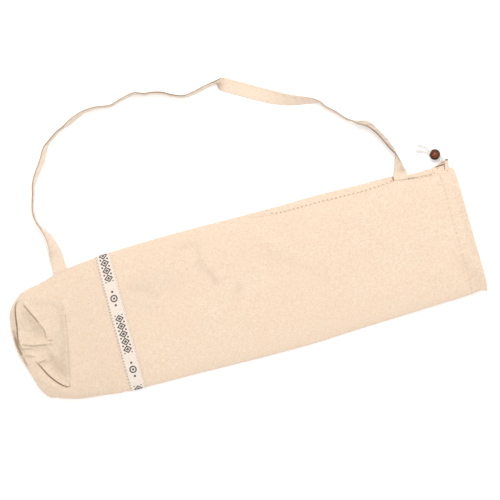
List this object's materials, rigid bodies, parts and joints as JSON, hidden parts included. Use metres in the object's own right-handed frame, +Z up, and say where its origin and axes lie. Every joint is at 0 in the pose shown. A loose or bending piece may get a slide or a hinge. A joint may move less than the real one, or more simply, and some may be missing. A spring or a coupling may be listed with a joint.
{
  "type": "yoga mat bag",
  "caption": "Flat-lying cotton yoga mat bag with a round base panel, ribbon band, shoulder strap and drawstring mouth with a wooden bead.",
  "frame": {"origin": "on the surface that the bag lies on, under the middle of its tube", "axes": "+X along the tube from the base to the drawstring mouth, +Y towards the side with the shoulder strap, +Z up from the surface"},
  "size_m": [0.6872, 0.4192, 0.0258],
  "materials": {
    "canvas": "unbleached plain-weave cotton, matt",
    "ribbon": "woven cotton tape, matt, with a charcoal printed pattern",
    "strap": "folded and stitched plain-weave cotton, matt",
    "cord": "twisted cotton cord, matt",
    "bead_wood": "dark red-brown wood, polished"
  },
  "bodies": {
    "root": {"tube_wall": "canvas", "base_disc": "canvas", "ribbon_band": "ribbon", "shoulder_strap": "strap", "hem_facing": "canvas", "drawstring_loop": "cord", "drawstring_tail_a": "cord", "drawstring_tail_b": "cord", "tail_knot_a": "cord", "tail_knot_b": "cord", "toggle_bead": "bead_wood"}
  },
  "joints": []
}
